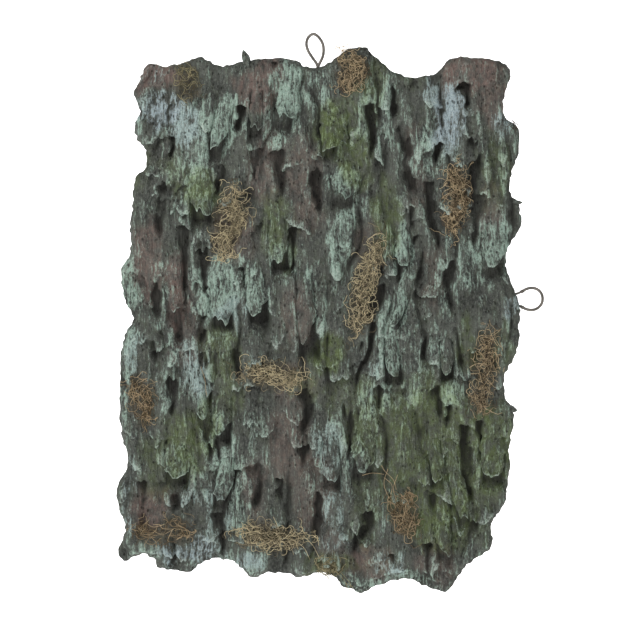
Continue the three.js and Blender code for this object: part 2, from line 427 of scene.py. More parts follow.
def threadMaterial():
    made, tree, spot = startMaterial("seamThread", 0.6)
    twist = noise(tree, spot, 2400.0, 2.0, 0.5, (1, 1, 0.5))
    colour = layOver(tree, paint("6d6c55"), [(ramp(tree, twist, 0.35, 0.65), "a8a384")])
    return finishMaterial(made, colour, twist, 0.0002, 0.6)


# the last of these layers is painted shade, in the creases, troughs and under the flaps
paintLayers = ("mint", "frost", "green", "plum", "nest", "crest", "paintedShade")  # painted on the bark's points
barkCoat = barkMaterial("barkCoat", 0.0)
flapCoat = barkMaterial("flapCoat", 0.03)
backingWeave = clothMaterial()
seamThread = threadMaterial()
elasticBraid = cordMaterial()
print("materials made")


loops = {
    "radius": 1.12,
    "sides": 14,
    "spacing": 0.45,
    "crossings": 1.15,  # braid crossings per millimetre of cord
    "routes": {
        "top_loop": [(2.4, -22.8), (1.85, -20.9), (-1.6, -16), (-4.6, -11), (-5.6, -6), (-4.2, -1.5),
                     (-0.4, 1), (3.4, -1.3), (6.4, -6), (7.2, -11.5), (6.3, -16.5), (4.15, -20.9),
                     (3.6, -22.8)],
        "side_loop": [(155.4, -190.9), (158.6, -189.1), (162.9, -188.4), (167, -189.7), (169.8, -193),
                      (170.5, -196.9), (169.4, -200.7), (166.4, -203.7), (162.5, -204.8), (158.7, -204.3),
                      (155.4, -202.8)],
    },
    # each knot and the end of cord that runs in between the skin and the backing
    "tails": {
        "top_loop_anchor": [(3, -23.2), (3, -30), (3, -36.7)],
        "side_loop_anchor_upper": [(155.4, -190.9), (152.8, -192.1), (149.5, -193), (141.8, -193.6)],
        "side_loop_anchor_lower": [(155.4, -202.8), (153, -201.7), (149.8, -200.9), (141.8, -200.4)],
    },
    "tailRadius": 0.95,
    "knot": {"turns": 2.5, "points": 60, "reach": 0.6, "halfLength": 1.0, "radius": 0.8, "crossings": 1.5},
}


def sweepTube(line, radius, sides, crossings):
    # a tube along a line of points, with a raised braid, closed at both ends
    heading = np.gradient(line, axis=0)
    heading /= np.linalg.norm(heading, axis=1)[:, None]
    side = np.cross(heading, (0.13, 0.97, 0.21))
    side /= np.linalg.norm(side, axis=1)[:, None]
    lift = np.cross(side, heading)
    along = np.concatenate([[0], np.cumsum(np.linalg.norm(np.diff(line, axis=0), axis=1))])
    turn = np.arange(sides) / sides * 2 * math.pi
    a, s = np.meshgrid(turn, along)
    braid = np.abs(np.sin(3 * a + math.pi * crossings * s)) * np.abs(np.sin(3 * a - math.pi * crossings * s))
    size = radius * (0.93 + 0.1 * braid)
    spoke = np.cos(a)[..., None] * side[:, None] + np.sin(a)[..., None] * lift[:, None]
    points = line[:, None] + size[..., None] * spoke
    rings = len(line)
    faces = []
    for r in range(rings - 1):
        for k in range(sides):
            after = (k + 1) % sides
            faces.append((r * sides + k, r * sides + after, (r + 1) * sides + after, (r + 1) * sides + k))
    faces.append(tuple(range(sides))[::-1])
    faces.append(tuple((rings - 1) * sides + k for k in range(sides)))
    return points.reshape(-1, 3), faces, braid.ravel()


def outwards(piece):
    shape = bmesh.new()
    shape.from_mesh(piece.data)
    bmesh.ops.recalc_face_normals(shape, faces=shape.faces)
    shape.to_mesh(piece.data)
    shape.free()


def buildLoop(name):
    line = evenPath(smoothPath([(x, 0, z) for x, z in loops["routes"][name]], 12), loops["spacing"])
    points, faces, braid = sweepTube(line, loops["radius"], loops["sides"], loops["crossings"])
    piece = addPiece(name + "_cord", points, faces, elasticBraid)
    setAttribute(piece, "tone", braid)
    outwards(piece)
    settle(piece, name, name)


def buildKnot(node, route):
    # the cord wound twice about itself, with its end
    knot = loops["knot"]
    tail = evenPath(smoothPath([(x, 0, z) for x, z in route], 10), 0.5)
    turns = np.linspace(0, knot["turns"] * 2 * math.pi, knot["points"])
    axis = (tail[1] - tail[0]) / np.linalg.norm(tail[1] - tail[0])
    side, front = np.cross(axis, (0, 1, 0)), np.array([0, 1.0, 0])
    coil = tail[0] + knot["reach"] * (np.cos(turns)[:, None] * side + np.sin(turns)[:, None] * front)
    coil += axis * np.linspace(-knot["halfLength"], knot["halfLength"], knot["points"])[:, None]
    points, faces, braid = sweepTube(coil, knot["radius"], 10, knot["crossings"])
    more, moreFaces, moreBraid = sweepTube(tail, loops["tailRadius"], 10, loops["crossings"])
    faces = faces + [tuple(i + len(points) for i in face) for face in moreFaces]
    piece = addPiece(node + "_knot", np.vstack([points, more]), faces, elasticBraid)
    setAttribute(piece, "tone", np.concatenate([braid, moreBraid]) * 0.7)
    outwards(piece)
    settle(piece, "mask", node)


buildLoop("top_loop")
buildLoop("side_loop")
for node, route in loops["tails"].items():
    buildKnot(node, route)
print("elastic loops made")


def frontOutline(node):
    # the torn outline, in millimetres, read from the front face of the CAD plate
    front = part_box(node)[0].y
    mesh = frame["nodes"][node].data
    edges = {}
    for face in mesh.polygons:
        corners = [mesh.vertices[i].co for i in face.vertices]
        if max(abs(c.y - front) for c in corners) < 1e-5:
            keys = [(round(c.x / mm, 2), round(c.z / mm, 2)) for c in corners]
            for a, b in zip(keys, keys[1:] + keys[:1]):
                # an edge that two faces share runs both ways and cancels out
                if (b, a) in edges:
                    del edges[(b, a)]
                else:
                    edges[(a, b)] = True
    following = {a: b for a, b in edges}
    start = min(following)
    loop, spot = [start], following[start]
    while spot != start:
        loop.append(spot)
        spot = following[spot]
    return np.array(loop)


outline = frontOutline("bark_skin")
raster = {"step": 0.8, "west": -156, "east": 166, "low": -426, "high": 2}
gridX, gridZ = np.meshgrid(np.arange(raster["west"], raster["east"], raster["step"]),
                           np.arange(raster["low"], raster["high"], raster["step"]))


def edgeDistance(x, z, loop):
    # how far inside the outline each point is, negative outside, and the nearest point on it
    best = np.full(x.shape, 1e9)
    nearX, nearZ = np.zeros(x.shape), np.zeros(x.shape)
    inside = np.zeros(x.shape, bool)
    for (ax, az), (bx, bz) in zip(loop, np.roll(loop, -1, axis=0)):
        dx, dz = bx - ax, bz - az
        t = np.clip(((x - ax) * dx + (z - az) * dz) / (dx * dx + dz * dz + 1e-12), 0, 1)
        px, pz = ax + t * dx, az + t * dz
        d = (x - px) ** 2 + (z - pz) ** 2
        closer = d < best
        best = np.where(closer, d, best)
        nearX, nearZ = np.where(closer, px, nearX), np.where(closer, pz, nearZ)
        if abs(dz) > 1e-9:
            crosses = ((az > z) != (bz > z)) & (x < (bx - ax) * (z - az) / dz + ax)
            inside ^= crosses
    return np.where(inside, 1, -1) * np.sqrt(best), nearX, nearZ


def sampleField(field, x, z):
    u = np.clip((x - raster["west"]) / raster["step"], 0, field.shape[1] - 1.001)
    v = np.clip((z - raster["low"]) / raster["step"], 0, field.shape[0] - 1.001)
    i, j = np.floor(u).astype(int), np.floor(v).astype(int)
    a, b = u - i, v - j
    low = field[j, i] * (1 - a) + field[j, i + 1] * a
    high = field[j + 1, i] * (1 - a) + field[j + 1, i + 1] * a
    return low * (1 - b) + high * b


def blur(field, reachX, reachZ):
    # three passes of a running mean, reach in millimetres
    for axis, reach in ((1, reachX), (0, reachZ)):
        half = max(1, int(round(reach / raster["step"])))
        for _ in range(3):
            pad = [(half + 1, half) if k == axis else (0, 0) for k in range(2)]
            total = np.cumsum(np.pad(field, pad, mode="edge"), axis=axis)
            size = 2 * half + 1
            if axis == 1:
                field = (total[:, size:] - total[:, :-size]) / size
            else:
                field = (total[size:] - total[:-size]) / size
    return field


def cellRange(low, high, start):
    # the raster cells between two places in millimetres
    return slice(max(0, int((low - start) / raster["step"])), max(0, int((high - start) / raster["step"])))


def clothGrid(cellX, cellZ, margin):
    # a net of cells inside the outline; each point knows how far inside it lies and the nearest torn edge
    xs = np.arange(outline[:, 0].min(), outline[:, 0].max() + 1, cellX)
    zs = np.arange(outline[:, 1].min(), outline[:, 1].max() + 1, cellZ)
    x, z = np.meshgrid(xs, zs)
    inward, nearX, nearZ = edgeDistance(x, z, outline)
    inside = inward > margin
    whole = inside[:-1, :-1] & inside[1:, :-1] & inside[:-1, 1:] & inside[1:, 1:]
    number = np.arange(x.size).reshape(x.shape)
    corners = np.stack([number[:-1, :-1], number[:-1, 1:], number[1:, 1:], number[1:, :-1]], axis=-1)[whole]
    used, faces = np.unique(corners, return_inverse=True)
    faces = faces.reshape(-1, 4)
    edges = np.sort(np.stack([faces, np.roll(faces, -1, axis=1)], axis=-1).reshape(-1, 2), axis=1)
    pairs, counts = np.unique(edges, axis=0, return_counts=True)
    rim = np.unique(pairs[counts == 1])
    return [field.ravel()[used] for field in (x, z, inward, nearX, nearZ)], faces, rim


def flapPlace(joint):
    # where a flap is glued, which way it runs and how big it is, in millimetres, from the frame
    root = np.array(joint["pos_m"]) / mm
    across = np.array([-joint["axis"][0], -joint["axis"][2]])
    down = np.array([across[1], -across[0]])
    mesh = frame["nodes"][joint["child"]].data
    corners = np.array([v.co for v in mesh.vertices]) / mm - root
    flat = corners[:, [0, 2]]
    return {
        "root": root,
        "across": across,
        "down": down,
        "length": float((flat @ down).max()),
        "halfWidth": float(np.abs(flat @ across).max()),
        "lift": float(-corners[:, 1].min()),
    }


flapPlaces = {j["child"]: flapPlace(j) for j in frame["joints"] if j["child"].startswith("bark_flap")}

# long hollows between the folds: top x, z, foot x, z, width, depth
troughs = [
    (-29.5, -18, -29, -27, 5, 5), (-55, -52, -56, -72, 7, 7), (-115, -113, -113, -150, 8, 5),
    (-97, -112, -96, -142, 9, 5), (-70, -98, -73, -120, 7, 4), (-43, -84, -44, -108, 7, 4),
    (-43, -142, -41, -165, 6, 4), (-16, -144, -15, -176, 8, 6), (-27, -84, -24, -130, 10, 5),
    (1, -100, 4, -136, 8, 6), (10, -60, 5, -95, 6, 4), (42, -48, 45, -92, 6, 5), (58, -40, 60, -62, 5, 4),
    (66, -66, 76, -150, 8, 4), (84, -110, 94, -160, 7, 5), (110, -34, 116, -54, 8, 7),
    (116, -58, 118, -92, 8, 4), (121, -92, 121, -160, 8, 6), (96, -78, 92, -96, 6, 6),
    (-98, -142, -95, -200, 8, 5), (-82, -150, -78, -200, 7, 5), (-100, -200, -98, -232, 7, 6),
    (-122, -222, -119, -246, 6, 6), (-117, -186, -116, -214, 7, 4), (-52, -172, -50, -186, 9, 7),
    (-10, -150, -8, -240, 7, 5), (0, -222, 6, -244, 6, 5), (-84, -208, -76, -300, 6, 6),
    (-106, -252, -100, -300, 6, 5), (-58, -232, -54, -258, 6, 4), (-40, -212, -30, -244, 8, 4),
    (52, -186, 32, -262, 8, 6), (76, -150, 84, -250, 7, 5), (60, -232, 64, -262, 7, 6),
    (100, -170, 112, -258, 6, 4), (48, -262, 46, -282, 7, 6), (90, -262, 92, -300, 6, 5),
    (98, -278, 100, -292, 5, 6), (-108, -300, -106, -318, 7, 6), (-80, -285, -76, -318, 6, 6),
    (-72, -300, -70, -316, 6, 6), (-56, -322, -66, -350, 6, 6), (-104, -334, -100, -352, 8, 6),
    (-44, -316, -40, -352, 11, 6), (-28, -330, -26, -352, 6, 5), (-6, -262, -8, -330, 8, 5),
    (26, -270, 24, -320, 7, 5), (44, -354, 28, -386, 7, 6), (4, -340, -2, -392, 8, 4),
    (88, -336, 90, -360, 9, 5), (100, -300, 102, -330, 7, 5), (110, -290, 116, -350, 7, 6),
    (124, -286, 132, -334, 8, 6), (86, -376, 84, -402, 8, 5), (120, -352, 110, -392, 7, 4),
    (56, -386, 60, -394, 6, 5), (133, -172, 133, -184, 7, 7), (-72, -352, -66, -392, 8, 4),
    (-104, -74, -106, -92, 6, 5), (-128, -330, -124, -372, 7, 3),
]

# brush marks and stains: x, z, half width, half height, strength
stains = {
    "mint": [
        (-88, -78, 16, 34, 0.88), (-66, -66, 10, 26, 0.9), (-20, -44, 13, 30, 1.0), (-28, -70, 8, 16, 0.9),
        (2, -40, 12, 16, 0.8), (-112, -60, 16, 12, 0.5), (-84, -128, 8, 10, 0.5), (-134, -64, 5, 12, 0.6),
        (50, -60, 16, 30, 0.7), (72, -92, 8, 22, 0.7), (84, -90, 8, 20, 0.9), (96, -60, 12, 30, 0.6),
        (22, -112, 14, 16, 0.8), (30, -134, 10, 14, 0.8), (18, -160, 8, 34, 0.9), (6, -206, 7, 20, 0.6),
        (66, -160, 8, 18, 0.9), (64, -200, 9, 22, 1.0), (52, -214, 7, 16, 0.8), (98, -180, 10, 30, 0.7),
        (120, -172, 14, 22, 0.9), (136, -150, 14, 18, 0.9), (144, -90, 6, 36, 0.5),
        (128, -150, 10, 18, 0.6), (-72, -190, 17, 24, 1.0), (-44, -194, 9, 18, 0.8),
        (-58, -176, 20, 12, 0.7), (-22, -166, 8, 16, 0.6), (-139, -182, 12, 24, 1.0),
        (-118, -196, 6, 30, 0.5), (-140, -246, 9, 36, 0.8), (-108, -262, 9, 26, 0.5),
        (-82, -266, 6, 26, 0.9), (-98, -244, 14, 18, 0.5), (-70, -310, 12, 26, 0.7),
        (-56, -340, 9, 26, 0.7), (-86, -330, 8, 20, 0.4), (56, -240, 9, 20, 0.7), (74, -262, 8, 14, 0.9),
        (104, -266, 10, 14, 0.9), (46, -272, 18, 14, 0.8), (20, -290, 12, 22, 0.6), (34, -312, 9, 14, 0.5),
        (-40, -300, 9, 26, 0.4), (20, -350, 5, 40, 0.5), (6, -330, 6, 34, 0.5), (50, -350, 10, 18, 0.5),
        (-128, -384, 12, 10, 0.6), (-46, -390, 12, 14, 0.7), (-60, -384, 14, 10, 0.5),
        (60, -404, 40, 5, 0.7), (118, -386, 10, 8, 0.3), (-66, -226, 10, 14, 0.35),
        (-100, -318, 12, 14, 0.35), (143, -222, 8, 16, 0.4), (78, -240, 6, 24, 0.5),
        (88, -232, 7, 24, 0.4), (-4, -182, 6, 20, 0.5), (-102, -120, 8, 26, 0.4),
    ],
    "frost": [
        (-114, -58, 20, 14, 1.0), (-96, -70, 12, 16, 0.6), (102, -62, 14, 30, 1.0), (88, -40, 10, 16, 0.7),
        (140, -66, 10, 12, 0.7), (-60, -208, 14, 12, 0.4), (-88, -250, 14, 20, 0.5),
        (-92, -384, 26, 10, 0.9), (14, -362, 12, 34, 0.45), (10, -310, 11, 26, 0.35),
        (-30, -262, 10, 12, 0.2), (-140, -340, 6, 30, 0.6), (-96, -340, 14, 14, 0.5),
        (56, -392, 14, 12, 0.6), (-76, -360, 12, 24, 0.4), (150, -200, 6, 10, 0.8),
        (-50, -392, 14, 8, 0.6), (-132, -256, 8, 30, 0.4), (36, -250, 12, 16, 0.3),
        (-30, -246, 14, 12, 0.3), (-122, -30, 13, 9, 0.5),
    ],
    "green": [
        (14, -70, 16, 22, 1.0), (30, -92, 16, 24, 0.8), (38, -50, 14, 22, 0.5), (-84, -118, 14, 20, 0.8),
        (-104, -104, 10, 16, 0.5), (-28, -140, 12, 24, 0.6), (-20, -162, 9, 18, 0.5),
        (54, -136, 12, 30, 0.7), (134, -104, 14, 30, 0.45), (-70, -236, 14, 24, 0.6),
        (12, -236, 14, 14, 0.9), (-4, -262, 12, 14, 0.6), (112, -230, 8, 20, 0.7), (144, -236, 8, 22, 0.4),
        (-96, -306, 18, 26, 0.8), (-78, -290, 10, 22, 0.8), (-114, -322, 14, 24, 0.5),
        (84, -290, 34, 40, 0.75), (126, -310, 24, 40, 0.8), (94, -350, 26, 36, 0.85),
        (60, -320, 18, 40, 0.6), (44, -290, 20, 26, 0.6), (110, -352, 8, 24, 0.9), (40, -350, 14, 30, 0.4),
        (30, -270, 20, 20, 0.5), (14, -396, 20, 8, 0.7), (50, -392, 16, 10, 0.2), (-62, -270, 8, 20, 0.5),
        (128, -370, 12, 16, 0.3), (-130, -98, 8, 14, 0.3), (72, -20, 12, 16, 0.3), (48, -30, 10, 16, 0.5),
    ],
    "plum": [
        (-116, -32, 18, 12, 1.0), (-44, -40, 16, 18, 0.9), (-34, -26, 12, 8, 0.8), (-6, -110, 14, 40, 0.5),
        (118, -28, 24, 18, 1.0), (134, -50, 12, 16, 0.6), (-124, -170, 14, 30, 0.8),
        (-102, -196, 9, 34, 0.9), (-34, -96, 14, 30, 0.6), (-60, -150, 16, 20, 0.5),
        (-120, -348, 16, 16, 0.9), (42, -392, 18, 14, 0.8), (92, -392, 14, 16, 0.5),
        (-20, -306, 16, 30, 0.6), (-10, -210, 14, 26, 0.5), (90, -180, 8, 26, 0.4),
        (-14, -262, 14, 18, 0.5), (0, -340, 16, 30, 0.5), (132, -128, 10, 14, 0.5),
        (40, -158, 10, 20, 0.4), (76, -100, 8, 30, 0.4), (-96, -226, 10, 22, 0.5), (14, -384, 12, 14, 0.5),
        (-42, -340, 10, 24, 0.5),
    ],
}


def leanAt(x, z):
    # how far the folds lean: over to the left at the upper left, slightly the other way at the right
    return 0.26 * smoothStep(0, -90, x) * smoothStep(-230, -120, z) - 0.08 * smoothStep(40, 100, x)


foldForm = {"level": -0.3, "broad": 5.0, "fine": 1.5, "ridge": 3.0}  # height of each kind of fold


def foldField(x, z):
    # the gathers: rounded folds with sharp creases between them, wandering down the sheet
    drift = 12 * latticeNoise(x, z, 85, 110, 3) + 5 * latticeNoise(x, z, 24, 30, 4)
    moved = x + drift - leanAt(x, z) * (z + 110)
    broad = np.abs(latticeNoise(moved, z, 17, 75, 5)) ** 0.6
    fine = np.abs(latticeNoise(moved, z, 7, 26, 6)) ** 0.7
    ridge = (1 - np.abs(latticeNoise(moved, z, 13, 50, 7))) ** 2.5
    height = foldForm["level"] + foldForm["broad"] * broad + foldForm["fine"] * fine
    return height + foldForm["ridge"] * ridge, moved


barkForms = {
    "tongueRows": (-398, -18, 27),
    "tongueColumns": (-142, 152, 16.5),
    "tongueLength": (20, 58),
    "tongueWidth": (10, 25),
    "tongueLift": (2.4, 7.4),
    "freeShare": 0.42,  # how many tongues stand free at their lip
    "seed": 11,
}


def stampTongues(x, z):
    # tongues of bark, narrow where they start and widest at the torn lower lip, that stand out there
    low, high, rowStep = barkForms["tongueRows"]
    west, east, columnStep = barkForms["tongueColumns"]
    rng = np.random.default_rng(barkForms["seed"])
    rise, lips = np.zeros(x.shape), np.zeros(x.shape)
    for row in np.arange(high, low, -rowStep):
        for column in np.arange(west, east, columnStep):
            cx, top = column + rng.uniform(-7, 7), row + rng.uniform(-12, 12)
            length, width = rng.uniform(*barkForms["tongueLength"]), rng.uniform(*barkForms["tongueWidth"])
            lift, seed = rng.uniform(*barkForms["tongueLift"]), int(rng.integers(1, 9999))
            lean = float(leanAt(np.float64(cx), np.float64(top))) + rng.uniform(-0.2, 0.2)
            rounding, free = rng.uniform(0.0, 0.3), float(rng.uniform(0, 1) < barkForms["freeShare"])
            reach = width + 0.4 * length
            columns = cellRange(cx - reach, cx + reach, raster["west"])
            rows = cellRange(top - 1.35 * length, top, raster["low"])
            wx, wz = x[rows, columns], z[rows, columns]
            if wx.size == 0:
                continue
            v = (top - wz) / length
            half = 0.5 * width * (0.3 + 0.7 * np.clip(v, 0, 1) ** 0.8)
            u = (wx - cx + lean * (top - wz)) / half + 0.33 * latticeNoise(wx, wz, 5, 8, seed)
            slant = seed % 101 / 50 - 1  # the lower edge tears off towards one side
            teeth = 2.2 * latticeNoise(wx, wz, 3.0, 6, seed + 1)
            teeth += 5.0 * (0.4 - np.abs(latticeNoise(wx, wz, 4.5, 30, seed + 2)))
            tip = 1 - rounding * u * u + 0.2 * slant * u - 0.1 * abs(slant) + teeth / length
            inside = (np.abs(u) < 1) & (v > 0) & (v < tip)
            shape = lift * np.clip(v, 0, 1) ** 1.3 * np.clip(1 - np.abs(u) ** 3, 0, 1)
            lip = smoothStep(tip - 2.6 / length, tip - 0.6 / length, v) * free
            shape = (shape + 0.8 * lip) * (free + (1 - free) * smoothStep(0, 0.38, tip - v))
            rise[rows, columns] = np.maximum(rise[rows, columns], np.where(inside, shape, 0))
            lips[rows, columns] = np.maximum(lips[rows, columns], np.where(inside, lip, 0))
    return rise, lips


def carveTroughs(x, z):
    depth = np.zeros(x.shape)
    wobble = 2.4 * latticeNoise(x, z, 8, 14, 21) + 1.1 * latticeNoise(x, z, 3, 5, 22)
    uneven = 1 + 0.32 * latticeNoise(x, z, 4.5, 7, 23)
    for ax, az, bx, bz, width, deep in troughs:
        dx, dz = bx - ax, bz - az
        long = math.hypot(dx, dz)
        t = ((x - ax) * dx + (z + 1.6 * wobble - az) * dz) / long**2
        away = np.abs((x + wobble - ax) * dz - (z - az) * dx) / long * uneven
        top = smoothStep(-1.5 / long, (1.5 + 0.3 * width) / long, t)
        wide = 1.15 * width * top * np.clip(1.04 - t, 0.001, 1) ** 0.6
        shape = (1 - smoothStep(0.25 * wide, 0.72 * wide + 0.1, away)) * top * smoothStep(1.04, 0.8, t)
        depth = np.maximum(depth, deep * shape)
    return depth


def seatFlaps(height, x, z):
    # a ridge that runs down into each flap's glued edge, and a shadowed pocket behind the flap
    for number, place in enumerate(flapPlaces.values()):
        relX, relZ = x - place["root"][0], z - place["root"][2]
        v = (relX * place["down"][0] + relZ * place["down"][1]) / place["length"]
        u = (relX * place["across"][0] + relZ * place["across"][1]) / (0.9 * place["halfWidth"])
        u = u + 0.16 * latticeNoise(x, z, 5, 9, 300 + number) * smoothStep(0, -0.3, v)
        near = (np.abs(u) < 1.7) & (v > -2) & (v < 1.6)
        front = -place["root"][1] + 1.75
        narrow = 1 + 1.2 * smoothStep(-0.1, -1.4, v)
        away = np.abs(u * narrow)
        section = np.clip(1 - 0.35 * (u * narrow) ** 2, 0, 1) * (1 - smoothStep(0.86, 1.12, away))
        lead = front * smoothStep(-1.6, -0.05, v) * section
        height = np.where(near & (v < 0.04), np.maximum(height, lead), height)
        pocket = smoothStep(0.01, 0.1, v) * (1 - smoothStep(1.1, 1.4, v))
        pocket = pocket * (1 - smoothStep(0.72, 1.1, np.abs(u)))
        floor = 3.0 - 2.6 * np.clip(v, 0, 1.2)
        height = np.where(near, height * (1 - pocket) + np.minimum(height, floor) * pocket, height)
    return height


def stainField(x, z, spots, seed):
    warpX = x + 5 * latticeNoise(x, z, 9, 16, seed) + 2 * latticeNoise(x, z, 3.5, 8, seed + 1)
    warpZ = z + 6 * latticeNoise(x, z, 12, 14, seed + 2)
    total = np.zeros(x.shape)
    for cx, cz, halfX, halfZ, strength in spots:
        far = ((warpX - cx) / halfX) ** 2 + ((warpZ - cz) / halfZ) ** 2
        total = np.maximum(total, strength * (1 - smoothStep(0.35, 1.5, far)))
    return total


def mossStains():
    # rusty dust and glue under each tuft of moss
    spots = []
    for name in (name for name in frame["nodes"] if name.startswith("moss_tuft")):
        low, high = (np.array(corner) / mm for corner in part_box(name))
        middle, half = (low + high) / 2, (high - low) / 2
        spots.append((middle[0], middle[2], 0.8 * half[0], 0.8 * half[2], 0.7))
    return spots


def turnedHem(x, z):
    # where the lower edge is rolled over, from 0 to 1
    right = smoothStep(8, 16, x) * smoothStep(104, 92, x) * smoothStep(-384, -394, z)
    return right + 0.7 * smoothStep(-118, -108, x) * smoothStep(-58, -66, x) * smoothStep(-372, -384, z)


def buildRelief():
    inward, _, _ = edgeDistance(gridX, gridZ, outline)
    height, moved = foldField(gridX, gridZ)
    rise, lips = stampTongues(gridX, gridZ)
    height = height + rise - carveTroughs(gridX, gridZ)
    height = height + 0.6 * latticeNoise(moved, gridZ, 2.4, 9, 31)
    height = height + 0.5 * latticeNoise(gridX, gridZ, 2.0, 3.4, 32)
    height = seatFlaps(height, gridX, gridZ)
    height = 13 * np.tanh(np.maximum(height, -0.6) / 13)  # nothing stands more than 13 off the cloth

    # the height eases down to a thin torn rim, or to a rolled one at the hem
    hem = turnedHem(gridX, gridZ)
    rim = 2.2 + 1.3 * latticeNoise(gridX, gridZ, 12, 12, 33)
    edge = smoothStep(-0.8, 4 + 6 * hem, inward)
    rolled = 2.2 + 1.1 * np.cos(inward * 2.1) + 0.5 * latticeNoise(gridX, gridZ, 20, 4, 34)
    rim = rim + (rolled - rim) * hem * smoothStep(10, 7, inward)
    height = rim + (height - rim) * edge

    # crest is where a brush touches; the field after it is painted shade, darkest in the creases and troughs
    # and spread thinly over the broad valleys
    crest = np.clip((height - blur(height, 4, 6)) / 2.6, -1, 1) + 0.75 * lips * edge
    crest = crest + 0.9 * hem * smoothStep(9, 6, inward) * smoothStep(-0.2, 0.9, np.cos(inward * 2.1))
    paintedShade = np.clip((blur(height, 5, 9) - height) / 3.6, 0, 1) * smoothStep(4.0, 0.8, height) * edge
    paintedShade = np.clip(paintedShade + 0.4 * np.clip((blur(height, 9, 14) - height) / 4, 0, 1) * edge, 0, 1)
    fields = {"height": height, "crest": crest, "paintedShade": paintedShade, "inward": inward}
    for k, (name, spots) in enumerate(stains.items()):
        fields[name] = stainField(gridX, gridZ, spots, 50 + 7 * k)
    fields["nest"] = stainField(gridX, gridZ, mossStains(), 95)
    return fields


relief = buildRelief()
print("bark relief worked out")

skinForm = {
    "cellX": 1.15,
    "cellZ": 1.25,
    "back": 1.7,
    "undercut": 2.2,  # how far a steep step hangs over what is below it
    "ragged": 0.9,
}


def closeBack(piece, back):
    # carries the torn edge round to the back and shuts the sheet against its backing
    shape = bmesh.new()
    shape.from_mesh(piece.data)
    rim = [e for e in shape.edges if e.is_boundary]
    grown = bmesh.ops.extrude_edge_only(shape, edges=rim)["geom"]
    for vert in (g for g in grown if isinstance(g, bmesh.types.BMVert)):
        vert.co.y = back * mm
    bmesh.ops.holes_fill(shape, edges=[e for e in shape.edges if e.is_boundary], sides=0)
    bmesh.ops.recalc_face_normals(shape, faces=shape.faces)
    for face in shape.faces:
        if len(face.verts) > 4:
            face.smooth = False
    shape.to_mesh(piece.data)
    shape.free()


def buildSkin():
    fields, faces, rim = clothGrid(skinForm["cellX"], skinForm["cellZ"], 0.35 * skinForm["cellX"])
    x, z, _, nearX, nearZ = fields
    # the rim's points move out to the torn outline
    nearX, nearZ = nearX[rim], nearZ[rim]
    torn = skinForm["ragged"] * latticeNoise(nearX, nearZ, 2.6, 2.6, 90)
    torn += 0.6 * skinForm["ragged"] * latticeNoise(nearX, nearZ, 7, 7, 91)
    inX, inZ = x[rim] - nearX, z[rim] - nearZ
    far = np.hypot(inX, inZ) + 1e-6
    x[rim], z[rim] = nearX + torn * inX / far, nearZ + torn * inZ / far
    height = sampleField(relief["height"], x, z)
    over = np.clip((height - sampleField(blur(relief["height"], 1, 3), x, z)) / 2.2, -1, 1)
    calm = smoothStep(1.5, 5, sampleField(relief["inward"], x, z))
    points = np.stack([x, -height, z - skinForm["undercut"] * over * calm], axis=1)
    piece = addPiece("barkSkin", points, faces.tolist(), barkCoat)
    for layer in paintLayers:
        setAttribute(piece, layer, sampleField(relief[layer], x, z))
    closeBack(piece, skinForm["back"])
    settle(piece, "mask", "bark_skin")


buildSkin()
print("bark skin made")

flapForm = {"across": 18, "down": 36, "thick": 1.5, "seed": 400}


def closedShell(front, back):
    # front and back are grids of the same size, joined all round
    rows, columns = front.shape[:2]
    count = rows * columns
    points = np.vstack([front.reshape(-1, 3), back.reshape(-1, 3)])
    faces = []
    for r in range(rows - 1):
        for c in range(columns - 1):
            a, b = r * columns + c, (r + 1) * columns + c
            faces.append((a, a + 1, b + 1, b))
            faces.append((a + count, b + count, b + 1 + count, a + 1 + count))
    rim = [c for c in range(columns)]
    rim += [r * columns + columns - 1 for r in range(1, rows)]
    rim += [(rows - 1) * columns + c for c in range(columns - 2, -1, -1)]
    rim += [r * columns for r in range(rows - 2, 0, -1)]
    for a, b in zip(rim, rim[1:] + rim[:1]):
        faces.append((a, a + count, b + count, b))
    return points, faces


